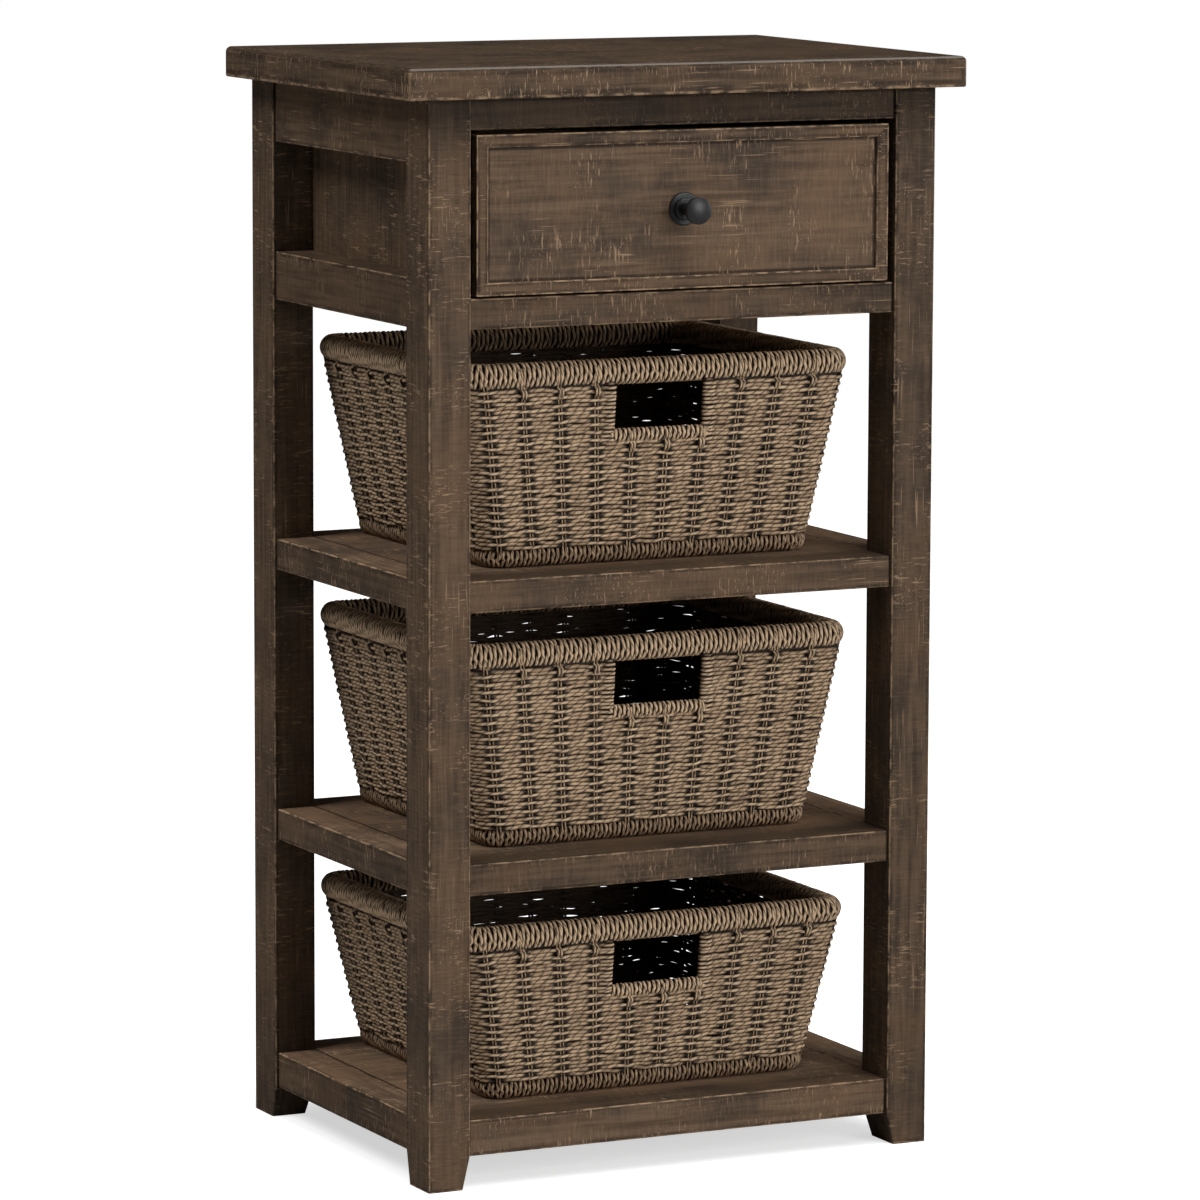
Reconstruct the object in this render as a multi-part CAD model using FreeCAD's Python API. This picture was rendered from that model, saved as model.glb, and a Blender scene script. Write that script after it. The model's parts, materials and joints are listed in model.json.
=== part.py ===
import FreeCAD, Part
import math
import os
from FreeCAD import Vector

# Basket stand, in millimetres.
# A framed wooden stand with one drawer under its top and three woven baskets on open shelves.
# +Z is up, +X is to the right of someone facing the drawer, and the drawer and baskets come out along -Y.
# The pieces are drawn about the middle of the leg frame. On saving they are moved along Y,
# so that the origin lies on the floor under the middle of the whole stand, knob included.

# Overall frame
overall_height = 914.0
frame_width = 460.0
frame_depth = 360.0

# Top
top_thickness = 25.4
side_overhang = 23.0
front_overhang = 12.5
back_overhang = 4.0
top_corner_radius = 4.0
top_edge_radius = 4.5
top_underside_radius = 1.5

# Legs
leg_width = 37.0
leg_depth = 45.0
leg_edge_radius = 1.5
foot_height = 28.0
foot_taper = 6.5

# Rails round the drawer
rail_setback = 3.5
front_rail_thickness = 30.0
back_rail_thickness = 22.0
rail_edge_radius = 1.2
front_upper_rail_height = 25.4
front_lower_rail_height = 25.0
side_rail_setback = 2.5
side_upper_rail_height = 52.6
side_lower_rail_height = 40.5
drawer_opening_height = 135.2

# Mortise and tenon joints
tenon_length = 18.0
tenon_thickness = 10.0
tenon_shoulder = 4.0
joint_gap = 0.2

# Thin panels that close the drawer's bay
panel_thickness = 6.0
panel_end_gap = 0.5
panel_drop_gap = 2.0
back_panel_gap = 0.5

# Shelves
shelf_thickness = 26.2
lower_shelf_thickness = 30.0
lower_shelf_level = 26.6
shelf_front_setback = 3.5
shelf_back_setback = 8.0
shelf_edge_radius = 1.6
tongue_length = 8.0
tongue_thickness = 9.0
tongue_end_margin = 5.0
dowel_diameter = 8.0
dowel_length = 40.0
dowel_inset = 20.0
dowel_gap = 0.15
dowel_end_room = 1.0

# Drawer front and its mitred bead
drawer_inset = 2.0
drawer_side_gap = 6.0
drawer_top_gap = 4.0
drawer_bottom_gap = 2.0
drawer_front_thickness = 17.0
bead_width = 10.5
bead_stand = 3.0
bead_rebate = 5.0
bead_edge_radius = 1.5

# Drawer box
drawer_side_thickness = 13.0
drawer_back_thickness = 12.0
drawer_box_headroom = 27.2
drawer_box_lift = 3.0
drawer_running_gap = 1.5
drawer_back_room = 8.0
drawer_bottom_thickness = 6.0
drawer_bottom_lift = 8.0
drawer_groove_depth = 6.0
drawer_groove_gap = 0.2

# Side-hung drawer runners
runner_thickness = 7.0
runner_height = 16.0
runner_above_box = 46.0
runner_stop_length = 10.5
runner_back_gap = 1.0
runner_gap = 0.5
runner_side_gap = 0.8
runner_stop_gap = 0.3
runner_screw_inset = 6.5

# Wood screws
screw_diameter = 4.0
screw_length = 32.0
screw_tip_length = 6.0
screw_head_diameter = 8.0
screw_head_height = 3.0
screw_gap = 0.2
screw_recess = 0.5
screw_grip = 17.4
top_screw_spacing = 240.0

# Knob
backplate_diameter = 27.4
backplate_thickness = 2.5
backplate_groove_diameter = 22.4
backplate_groove_depth = 0.8
backplate_ring_diameter = 18.6
backplate_ring_thickness = 2.0
backplate_hollow_diameter = 14.4
backplate_hollow_depth = 1.6
backplate_edge_radius = 1.4
knob_neck_diameter = 10.0
knob_neck_length = 11.0
knob_flare_length = 8.5
knob_head_diameter = 22.0
knob_edge_height = 3.5
knob_dome_height = 2.5
knob_screw_diameter = 4.0
knob_screw_bite = 11.0
knob_screw_head_diameter = 9.0
knob_screw_head_height = 2.6
knob_screw_gap = 0.25

# Baskets
basket_side_clearance = 12.5
basket_front_setback = 42.5
basket_back_setback = 9.5
basket_seat_gap = 0.3
upper_basket_headroom = 33.0
middle_basket_headroom = 33.0
lower_basket_headroom = 36.0
basket_side_lean = 30.0
basket_end_lean = 17.0
rim_diameter = 22.0
rim_inner_corner_radius = 2.0
rim_stand = 1.5
base_ring_diameter = 17.0
base_inner_corner_radius = 3.5
wall_thickness = 6.5
wall_corner_tuck = 4.0
basket_floor_thickness = 5.0
basket_floor_lift = 5.0
weave_gap = 0.3
handle_width = 79.0
handle_height = 35.0
handle_drop = 1.5
handle_border_width = 10.5
handle_border_stand = 1.5

# Cuts run past the faces they cut by this much
overrun = 2.0

# Shares of the open height over the lowest shelf that the lower and middle bays take
lower_bay_share = 0.312
middle_bay_share = 0.346

# An edge counts as parallel to an axis when this share of its length runs along it
parallel_share = 0.99

# Places that follow from the sizes above
frame_half_width = frame_width / 2
frame_half_depth = frame_depth / 2
opening_half = frame_half_width - leg_width
inner_half_depth = frame_half_depth - leg_depth
top_underside = overall_height - top_thickness
side_rail_outside = frame_half_width - side_rail_setback
panel_inside = opening_half - panel_thickness
drawer_face = -frame_half_depth + drawer_inset
drawer_panel_face = drawer_face + bead_stand
drawer_panel_back = drawer_panel_face + drawer_front_thickness
drawer_opening_top = top_underside - front_upper_rail_height
drawer_rail_top = drawer_opening_top - drawer_opening_height
drawer_rail_level = drawer_rail_top - front_lower_rail_height
lower_shelf_top = lower_shelf_level + lower_shelf_thickness
open_height = drawer_rail_level - lower_shelf_top - shelf_thickness * 2
middle_shelf_level = lower_shelf_top + open_height * lower_bay_share
middle_shelf_top = middle_shelf_level + shelf_thickness
upper_shelf_level = middle_shelf_top + open_height * middle_bay_share
upper_shelf_top = upper_shelf_level + shelf_thickness
drawer_half_width = opening_half - drawer_side_gap
drawer_z = (drawer_rail_top + drawer_bottom_gap, drawer_opening_top - drawer_top_gap)
back_rail_inside = frame_half_depth - rail_setback - back_rail_thickness
back_panel_inside = back_rail_inside - panel_thickness
box_bottom = drawer_rail_top + drawer_box_lift
box_top = drawer_opening_top - drawer_box_headroom
box_outside = panel_inside - drawer_running_gap
box_inside = box_outside - drawer_side_thickness
box_back = back_panel_inside - drawer_back_room
runner_middle = box_bottom + runner_above_box
runner_y = (drawer_panel_back + runner_stop_length, back_panel_inside - runner_back_gap)
runner_inside = panel_inside - runner_thickness
knob_height = (drawer_z[0] + drawer_z[1]) / 2
plate_total = backplate_thickness + backplate_ring_thickness
knob_length = knob_neck_length + knob_flare_length + knob_edge_height + knob_dome_height
knob_reach = plate_total + knob_length
front_reach = max(frame_half_depth + front_overhang, knob_reach - drawer_panel_face)
frame_shift = (front_reach - frame_half_depth - back_overhang) / 2

sides = {"left": -1, "right": 1}
ends = {"front": -1, "back": 1}

# Each cross rail's Y and Z spans, front to back and bottom to top
front_rail_face = -frame_half_depth + rail_setback
front_rail_y = (front_rail_face, front_rail_face + front_rail_thickness)
back_rail_y = (back_rail_inside, back_rail_inside + back_rail_thickness)
cross_rails = {
    "front_upper_rail": ("front", front_rail_y, (drawer_opening_top, top_underside)),
    "front_lower_rail": ("front", front_rail_y, (drawer_rail_level, drawer_rail_top)),
    "back_upper_rail": ("back", back_rail_y, (top_underside - side_upper_rail_height, top_underside)),
    "back_lower_rail": ("back", back_rail_y, (drawer_rail_level, drawer_rail_level + side_lower_rail_height)),
}

# Each shelf's Z span
shelves = {
    "upper": (upper_shelf_level, upper_shelf_top),
    "middle": (middle_shelf_level, middle_shelf_top),
    "lower": (lower_shelf_level, lower_shelf_top),
}

# Each side rail's Z span, the shelf rails included
side_rails = {
    "side_upper_rail": (top_underside - side_upper_rail_height, top_underside),
    "side_lower_rail": (drawer_rail_level, drawer_rail_level + side_lower_rail_height),
}
for shelf_name, shelf_z in shelves.items():
    side_rails[shelf_name + "_shelf_rail"] = shelf_z

# Each basket's seat and the ceiling of its bay
basket_bays = {
    "upper": (upper_shelf_top, drawer_rail_level - upper_basket_headroom),
    "middle": (middle_shelf_top, upper_shelf_level - middle_basket_headroom),
    "lower": (lower_shelf_top, middle_shelf_level - lower_basket_headroom),
}


# Small shape helpers


def mirrored(side, near, far):
    """The span from near to far on one side of the middle, low end first."""
    return tuple(sorted((side * near, side * far)))


def grown(span, gap):
    return span[0] - gap, span[1] + gap


def block(x_span, y_span, z_span):
    size = [span[1] - span[0] for span in (x_span, y_span, z_span)]
    return Part.makeBox(*size, Vector(x_span[0], y_span[0], z_span[0]))


def edges_along(shape, axis):
    """The straight edges of a shape that run along one axis: 0 for X, 1 for Y, 2 for Z."""
    found = []
    for edge in shape.Edges:
        run = edge.Vertexes[-1].Point - edge.Vertexes[0].Point
        if abs(run[axis]) > parallel_share * edge.Length:
            found.append(edge)
    return found


def eased_bar(x_span, y_span, z_span, axis, radius):
    """A bar whose four long edges are rounded."""
    bar = block(x_span, y_span, z_span)
    return bar.makeFillet(radius, edges_along(bar, axis))


def rounded_loop(x_span, y_span, corner, z):
    """A level rectangle with round corners, as a closed wire."""
    low_x, high_x = x_span[0] + corner, x_span[1] - corner
    low_y, high_y = y_span[0] + corner, y_span[1] - corner
    up = Vector(0, 0, 1)
    lines = [
        (Vector(low_x, y_span[0], z), Vector(high_x, y_span[0], z)),
        (Vector(x_span[1], low_y, z), Vector(x_span[1], high_y, z)),
        (Vector(high_x, y_span[1], z), Vector(low_x, y_span[1], z)),
        (Vector(x_span[0], high_y, z), Vector(x_span[0], low_y, z)),
    ]
    centres = [
        (Vector(high_x, low_y, z), 270, 360),
        (Vector(high_x, high_y, z), 0, 90),
        (Vector(low_x, high_y, z), 90, 180),
        (Vector(low_x, low_y, z), 180, 270),
    ]
    edges = []
    for (start, finish), (centre, first, last) in zip(lines, centres):
        edges.append(Part.makeLine(start, finish))
        edges.append(Part.makeCircle(corner, centre, up, first, last))
    return Part.Wire(edges)


def prism(wire, height):
    return Part.Face(wire).extrude(Vector(0, 0, height))


def lathe(wire):
    """A closed profile in the XZ plane turned about Z."""
    return Part.Face(wire).revolve(Vector(0, 0, 0), Vector(0, 0, 1), 360)


def facing_front(shape, height):
    """Lays a piece turned about Z on the drawer front, pointing out along -Y."""
    shape.rotate(Vector(0, 0, 0), Vector(1, 0, 0), 90)
    shape.translate(Vector(0, drawer_panel_face, height))
    return shape


def middle(span):
    return (span[0] + span[1]) / 2


# Joints


def cross_tenon(rail, side, gap):
    """The tenon at one end of a front or back rail, or with a gap the mortise that takes it."""
    end, y_span, z_span = cross_rails[rail]
    x_span = mirrored(side, opening_half - overrun, opening_half + tenon_length + gap)
    half = tenon_thickness / 2 + gap
    y_middle = middle(y_span)
    height = (z_span[0] + tenon_shoulder - gap, z_span[1] - tenon_shoulder + gap)
    return block(x_span, (y_middle - half, y_middle + half), height)


def side_tenon(rail, side, end, gap):
    """The tenon at one end of a side or shelf rail, or with a gap the mortise that takes it."""
    z_span = side_rails[rail]
    y_span = mirrored(end, inner_half_depth - overrun, inner_half_depth + tenon_length + gap)
    half = tenon_thickness / 2 + gap
    x_middle = side * (opening_half + side_rail_outside) / 2
    height = (z_span[0] + tenon_shoulder - gap, z_span[1] - tenon_shoulder + gap)
    return block((x_middle - half, x_middle + half), y_span, height)


def shelf_tongue(shelf, side, gap):
    """The tongue on one end of a shelf board, or with a gap the groove that takes it."""
    x_span = mirrored(side, opening_half - overrun, opening_half + tongue_length + gap)
    y_half = inner_half_depth - tongue_end_margin + gap
    z_middle = middle(shelves[shelf])
    half = tongue_thickness / 2 + gap
    return block(x_span, (-y_half, y_half), (z_middle - half, z_middle + half))


def shelf_dowel(shelf, side, end, gap, end_room):
    """A dowel between a shelf board and a leg, or with a gap the hole that takes it."""
    length = dowel_length + end_room * 2
    start = opening_half - length / 2
    low = Vector(side * start, end * (frame_half_depth - dowel_inset), middle(shelves[shelf]))
    return Part.makeCylinder(dowel_diameter / 2 + gap, length, low, Vector(side, 0, 0))


def screw_places():
    """Each wood screw's seat under its head, the way it points and how deep its head is sunk."""
    places = []
    seat_z = top_underside - screw_grip
    for rail in ("front_upper_rail", "back_upper_rail"):
        end, y_span, z_span = cross_rails[rail]
        for side in sides.values():
            seat = Vector(side * top_screw_spacing / 2, middle(y_span), seat_z)
            places.append((seat, Vector(0, 0, 1), seat_z - z_span[0]))
    for side in sides.values():
        seat = Vector(side * (opening_half + side_rail_outside) / 2, 0, seat_z)
        places.append((seat, Vector(0, 0, 1), seat_z - side_rails["side_upper_rail"][0]))
    sunk = screw_head_height + screw_recess
    for side in sides.values():
        for y in grown(runner_y, -runner_screw_inset):
            seat = Vector(side * (runner_inside + sunk), y, runner_middle)
            places.append((seat, Vector(side, 0, 0), sunk))
    return places


def wood_screw(seat, way):
    shank_length = screw_length - screw_tip_length
    radius = screw_diameter / 2
    head = Part.makeCylinder(screw_head_diameter / 2, screw_head_height, seat - way * screw_head_height, way)
    shank = Part.makeCylinder(radius, shank_length, seat, way)
    tip = Part.makeCone(radius, 0, screw_tip_length, seat + way * shank_length, way)
    return head.fuse([shank, tip]).removeSplitter()


def screw_room(seat, way, sunk):
    """The hole that a screw and its head lie in."""
    hole_radius = screw_diameter / 2 + screw_gap
    head_radius = screw_head_diameter / 2 + screw_gap
    hole = Part.makeCylinder(hole_radius, screw_length + screw_gap, seat, way)
    mouth = Part.makeCylinder(head_radius, sunk + overrun, seat - way * (sunk + overrun), way)
    return hole.fuse(mouth)


screw_holes = [screw_room(*place) for place in screw_places()]


# Frame


def top_panel():
    x_reach = frame_half_width + side_overhang
    y_span = (-frame_half_depth - front_overhang, frame_half_depth + back_overhang)
    slab = prism(rounded_loop((-x_reach, x_reach), y_span, top_corner_radius, top_underside), top_thickness)
    half_way = middle((top_underside, overall_height))
    upper = [edge for edge in slab.Edges if edge.BoundBox.ZMin > half_way]
    slab = slab.makeFillet(top_edge_radius, upper)
    lower = [edge for edge in slab.Edges if edge.BoundBox.ZMax < top_underside + top_underside_radius]
    slab = slab.makeFillet(top_underside_radius, lower)
    return slab.cut(screw_holes)


def leg(side, end):
    """A leg with its mortises. Its two inner faces taper in at the foot."""
    x_span = mirrored(side, opening_half, frame_half_width)
    y_span = mirrored(end, inner_half_depth, frame_half_depth)
    foot_x = mirrored(side, opening_half + foot_taper, frame_half_width)
    foot_y = mirrored(end, inner_half_depth + foot_taper, frame_half_depth)
    shoulder = rounded_loop(x_span, y_span, leg_edge_radius, foot_height)
    sole = rounded_loop(foot_x, foot_y, leg_edge_radius, 0)
    post = prism(shoulder, top_underside - foot_height)
    body = post.fuse(Part.makeLoft([sole, shoulder], True, True)).removeSplitter()
    rooms = []
    for rail, (rail_end, y_rail, z_rail) in cross_rails.items():
        if ends[rail_end] == end:
            rooms.append(cross_tenon(rail, side, joint_gap))
    for rail in side_rails:
        rooms.append(side_tenon(rail, side, end, joint_gap))
    for shelf in shelves:
        rooms.append(shelf_dowel(shelf, side, end, dowel_gap, dowel_end_room))
    return body.cut(rooms + screw_holes)


def cross_rail(rail):
    """A front or back rail with a tenon at each end."""
    end, y_span, z_span = cross_rails[rail]
    bar = eased_bar((-opening_half, opening_half), y_span, z_span, 0, rail_edge_radius)
    bar = bar.fuse([cross_tenon(rail, side, 0) for side in sides.values()])
    return bar.cut(screw_holes).removeSplitter()


def side_rail(rail, side):
    """A rail between a front and a back leg. Shelf rails are grooved for the board's tongue."""
    x_span = mirrored(side, opening_half, side_rail_outside)
    y_span = (-inner_half_depth, inner_half_depth)
    bar = eased_bar(x_span, y_span, side_rails[rail], 1, rail_edge_radius)
    bar = bar.fuse([side_tenon(rail, side, end, 0) for end in ends.values()])
    grooves = [shelf_tongue(shelf, side, joint_gap) for shelf in shelves if rail.startswith(shelf)]
    return bar.cut(grooves + screw_holes).removeSplitter()


def side_panel(side):
    """The thin panel behind a side's recess, fixed to the inside of the legs and rails."""
    x_span = mirrored(side, panel_inside, opening_half)
    y_span = grown((front_rail_y[1], back_rail_y[0]), -panel_end_gap)
    panel = block(x_span, y_span, (drawer_rail_level + panel_drop_gap, top_underside))
    return panel.cut(screw_holes)


def back_panel():
    x_half = panel_inside - back_panel_gap
    z_span = (drawer_rail_level + panel_drop_gap, top_underside)
    return block((-x_half, x_half), (back_panel_inside, back_rail_inside), z_span)


def shelf_board(shelf):
    """A shelf board with a tongue at each end and dowel holes at its corners."""
    y_span = (-frame_half_depth + shelf_front_setback, frame_half_depth - shelf_back_setback)
    board = eased_bar((-opening_half, opening_half), y_span, shelves[shelf], 0, shelf_edge_radius)
    board = board.fuse([shelf_tongue(shelf, side, 0) for side in sides.values()])
    holes = []
    for side in sides.values():
        for end in ends.values():
            holes.append(shelf_dowel(shelf, side, end, dowel_gap, dowel_end_room))
    return board.cut(holes).removeSplitter()


def shelf_dowels():
    dowels = []
    for shelf in shelves:
        for side in sides.values():
            for end in ends.values():
                dowels.append(shelf_dowel(shelf, side, end, 0, 0))
    return Part.Compound(dowels)


def drawer_runner(side):
    """A strip on the side panel that carries the drawer in the groove of its side."""
    x_span = mirrored(side, runner_inside, panel_inside)
    z_span = (runner_middle - runner_height / 2, runner_middle + runner_height / 2)
    return block(x_span, runner_y, z_span).cut(screw_holes)


# Drawer


def drawer_bottom_room(gap):
    """The drawer's bottom board, or with a gap the grooves that it slides into."""
    x_half = box_inside + drawer_groove_depth + gap
    y_span = (drawer_panel_back - drawer_groove_depth - gap, box_back + gap)
    low = box_bottom + drawer_bottom_lift
    return block((-x_half, x_half), y_span, grown((low, low + drawer_bottom_thickness), gap))


def knob_screw_hole():
    hole = Part.makeCylinder(knob_screw_diameter / 2 + knob_screw_gap, knob_reach + drawer_front_thickness)
    hole.translate(Vector(0, 0, -drawer_front_thickness - overrun))
    return facing_front(hole, knob_height)


def drawer_front():
    """The drawer's front board, rebated all round for the bead."""
    x_span = (-drawer_half_width, drawer_half_width)
    board = block(x_span, (drawer_panel_face, drawer_panel_back), drawer_z)
    rebate_y = (drawer_panel_face - overrun, drawer_panel_face + bead_rebate)
    border = block(grown(x_span, overrun), rebate_y, grown(drawer_z, overrun))
    field = block(grown(x_span, -bead_width), rebate_y, grown(drawer_z, -bead_width))
    return board.cut([border.cut(field), drawer_bottom_room(drawer_groove_gap), knob_screw_hole()])


def drawer_bead(across, way):
    """One mitred strip of the bead: across the drawer front or up it, on the side that way points to."""
    half_height = (drawer_z[1] - drawer_z[0]) / 2
    reach, half_run = (half_height, drawer_half_width) if across else (drawer_half_width, half_height)
    inner, inner_run = reach - bead_width, half_run - bead_width
    corners = [(-half_run, reach), (half_run, reach), (inner_run, inner), (-inner_run, inner)]
    points = []
    for run, stand in corners:
        x, z = (run, way * stand) if across else (way * stand, run)
        points.append(Vector(x, drawer_face, knob_height + z))
    depth = bead_stand + bead_rebate
    strip = Part.Face(Part.makePolygon(points + points[:1])).extrude(Vector(0, depth, 0))
    axis, place = (0, 2) if across else (2, 0)
    level = way * inner + (knob_height if across else 0)
    front_edges = []
    for edge in edges_along(strip, axis):
        start = edge.Vertexes[0].Point
        if abs(start.y - drawer_face) < bead_stand and abs(start[place] - level) < bead_edge_radius:
            front_edges.append(edge)
    return strip.makeFillet(bead_edge_radius, front_edges)


def drawer_side(side):
    """A drawer side, grooved inside for the bottom and outside for its runner."""
    x_span = mirrored(side, box_inside, box_outside)
    y_span = (drawer_panel_back, box_back)
    board = block(x_span, y_span, (box_bottom, box_top))
    groove_x = mirrored(side, runner_inside - runner_side_gap, box_outside + overrun)
    groove_y = (runner_y[0] - runner_stop_gap, box_back + overrun)
    half = runner_height / 2 + runner_gap
    groove = block(groove_x, groove_y, (runner_middle - half, runner_middle + half))
    return board.cut([groove, drawer_bottom_room(drawer_groove_gap)])


def drawer_back():
    """The drawer's back board, standing on the bottom between the sides."""
    low = box_bottom + drawer_bottom_lift + drawer_bottom_thickness
    y_span = (box_back - drawer_back_thickness, box_back)
    return block((-box_inside, box_inside), y_span, (low, box_top))


def washer(outside, inside, depth, top):
    """A flat ring about Z, this deep, that runs past its top face so that it can be cut away."""
    disc = Part.makeCylinder(outside / 2, depth + overrun, Vector(0, 0, top - depth))
    return disc.cut(Part.makeCylinder(inside / 2, depth + overrun, Vector(0, 0, top - depth)))


def knob_backplate():
    """A round plate with a raised ring, grooved outside the ring and hollowed inside it, and bored for the screw."""
    plate = Part.makeCylinder(backplate_diameter / 2, backplate_thickness)
    rim = [edge for edge in plate.Edges if edge.BoundBox.ZMin > backplate_thickness / 2]
    plate = plate.makeFillet(backplate_edge_radius, rim)
    ring = Part.makeCylinder(backplate_ring_diameter / 2, plate_total)
    rim = [edge for edge in ring.Edges if edge.BoundBox.ZMin > plate_total / 2]
    ring = ring.makeFillet(backplate_edge_radius, rim)
    bore = Part.makeCylinder(knob_screw_diameter / 2 + knob_screw_gap, plate_total)
    groove = washer(backplate_groove_diameter, backplate_ring_diameter, backplate_groove_depth, backplate_thickness)
    hollow = washer(backplate_hollow_diameter, knob_neck_diameter, backplate_hollow_depth, plate_total)
    return facing_front(plate.fuse(ring).cut([bore, groove, hollow]).removeSplitter(), knob_height)


def arc_middle(drop, along):
    """The middle of an arc that sets off along one way and ends this far along it and this far off it."""
    half_turn = math.atan2(drop, along)
    radius = (drop**2 + along**2) / (2 * drop)
    return radius * (1 - math.cos(half_turn)), radius * math.sin(half_turn)


def drawer_knob():
    """A neck that flares into a broad domed head, bored from behind for its screw."""
    neck = knob_neck_diameter / 2
    head = knob_head_diameter / 2
    collar = plate_total + knob_neck_length
    low_edge = collar + knob_flare_length
    high_edge = low_edge + knob_edge_height
    flare_out, flare_up = arc_middle(head - neck, knob_flare_length)
    dome_down, dome_out = arc_middle(knob_dome_height, head)
    points = [
        Vector(0, 0, plate_total),
        Vector(neck, 0, plate_total),
        Vector(neck, 0, collar),
        Vector(head, 0, low_edge),
        Vector(head, 0, high_edge),
        Vector(0, 0, knob_reach),
    ]
    flare_middle = Vector(neck + flare_out, 0, collar + flare_up)
    dome_middle = Vector(dome_out, 0, knob_reach - dome_down)
    edges = [
        Part.makeLine(points[0], points[1]),
        Part.makeLine(points[1], points[2]),
        Part.Arc(points[2], flare_middle, points[3]).toShape(),
        Part.makeLine(points[3], points[4]),
        Part.Arc(points[4], dome_middle, points[5]).toShape(),
        Part.makeLine(points[5], points[0]),
    ]
    body = lathe(Part.Wire(edges))
    bore = Part.makeCylinder(knob_screw_diameter / 2 + knob_screw_gap, knob_screw_bite + knob_screw_gap)
    bore.translate(Vector(0, 0, plate_total))
    return facing_front(body.cut(bore), knob_height)


def knob_screw():
    """The machine screw that holds the knob, put in from inside the drawer."""
    shank_length = drawer_front_thickness + plate_total + knob_screw_bite
    shank = Part.makeCylinder(knob_screw_diameter / 2, shank_length)
    shank.translate(Vector(0, 0, -drawer_front_thickness))
    head = Part.makeCylinder(knob_screw_head_diameter / 2, knob_screw_head_height)
    head.translate(Vector(0, 0, -drawer_front_thickness - knob_screw_head_height))
    return facing_front(shank.fuse(head).removeSplitter(), knob_height)


# Baskets


basket_rim_half = opening_half - basket_side_clearance
basket_rim_y = (-frame_half_depth + basket_front_setback, frame_half_depth - basket_back_setback)
basket_base_half = basket_rim_half - basket_side_lean
basket_base_y = grown(basket_rim_y, -basket_end_lean)
rim_corner_radius = rim_inner_corner_radius + rim_diameter / 2
base_corner_radius = base_inner_corner_radius + base_ring_diameter / 2


def basket_loop(share, inset, corner, z):
    """A level loop on the basket's outside, from its base at share 0 to its rim at share 1."""
    x_half = basket_base_half + share * basket_side_lean - inset
    y_span = grown(basket_base_y, share * basket_end_lean - inset)
    return rounded_loop((-x_half, x_half), y_span, corner, z)


def roll(share, diameter, corner, z, gap):
    """A thick wrapped roll that runs round the basket, or with a gap the room that it needs."""
    path = basket_loop(share, diameter / 2, corner, z)
    start = path.Vertexes[0].Point
    ring = Part.makeCircle(diameter / 2 + gap, start, Vector(1, 0, 0))
    return path.makePipeShell([Part.Wire([ring])], True, False)


def basket_skin(outset, low, high):
    """The solid inside the basket's wall face, moved outwards by outset."""
    base_corner = base_corner_radius + base_ring_diameter / 2
    rim_corner = rim_corner_radius + rim_diameter / 2 - wall_corner_tuck
    lower = basket_loop(0, -outset, base_corner, low)
    upper = basket_loop(1, rim_stand - outset, rim_corner, high)
    return Part.makeLoft([lower, upper], True, True)


def basket_pieces(bay):
    """The five pieces of one basket: wall, floor, rim, base ring and the border of its handle hole."""
    seat, ceiling = basket_bays[bay]
    low = seat + basket_seat_gap
    rim_z = ceiling - rim_diameter / 2
    ring_z = low + base_ring_diameter / 2
    rim = roll(1, rim_diameter, rim_corner_radius, rim_z, 0)
    ring = roll(0, base_ring_diameter, base_corner_radius, ring_z, 0)
    rim_room = roll(1, rim_diameter, rim_corner_radius, rim_z, weave_gap)
    ring_room = roll(0, base_ring_diameter, base_corner_radius, ring_z, weave_gap)

    def shell(outset, inset):
        return basket_skin(outset, ring_z, rim_z).cut(basket_skin(-inset, ring_z, rim_z))

    hole_top = ceiling - rim_diameter - handle_drop
    hole_z = (hole_top - handle_height, rim_z + overrun)
    hole_x = (-handle_width / 2, handle_width / 2)
    front_y = (basket_rim_y[0] - overrun, basket_rim_y[0] + basket_end_lean + rim_diameter)
    hole = block(hole_x, front_y, hole_z)
    border_z = (hole_z[0] - handle_border_width, hole_z[1])
    border_outline = block(grown(hole_x, handle_border_width), front_y, border_z)

    wall = shell(0, wall_thickness).cut([rim_room, ring_room, border_outline])
    border = shell(handle_border_stand, wall_thickness + handle_border_stand)
    border = border.common(border_outline).cut([hole, rim_room])
    floor_loop = basket_loop(0, base_ring_diameter / 2, base_corner_radius, low + basket_floor_lift)
    floor = prism(floor_loop, basket_floor_thickness).cut(ring_room)
    names = ("wall", "floor", "rim", "base_ring", "handle_border")
    return {bay + "_basket_" + name: piece for name, piece in zip(names, (wall, floor, rim, ring, border))}


# All pieces by name


def all_pieces():
    pieces = {"top_panel": top_panel(), "back_panel": back_panel(), "shelf_dowels": shelf_dowels()}
    for end_name, end in ends.items():
        for side_name, side in sides.items():
            pieces["leg_" + end_name + "_" + side_name] = leg(side, end)
    for rail in cross_rails:
        pieces[rail] = cross_rail(rail)
    for side_name, side in sides.items():
        for rail in side_rails:
            pieces[rail + "_" + side_name] = side_rail(rail, side)
        pieces["side_panel_" + side_name] = side_panel(side)
        pieces["drawer_runner_" + side_name] = drawer_runner(side)
        pieces["drawer_side_" + side_name] = drawer_side(side)
        pieces["drawer_bead_" + side_name] = drawer_bead(False, side)
    for shelf in shelves:
        pieces[shelf + "_shelf_board"] = shelf_board(shelf)
        pieces.update(basket_pieces(shelf))
    pieces["wood_screws"] = Part.Compound([wood_screw(seat, way) for seat, way, sunk in screw_places()])
    pieces["drawer_front"] = drawer_front()
    pieces["drawer_bead_top"] = drawer_bead(True, 1)
    pieces["drawer_bead_bottom"] = drawer_bead(True, -1)
    pieces["drawer_back"] = drawer_back()
    pieces["drawer_bottom"] = drawer_bottom_room(0)
    pieces["knob_backplate"] = knob_backplate()
    pieces["drawer_knob"] = drawer_knob()
    pieces["knob_screw"] = knob_screw()
    return pieces


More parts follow.
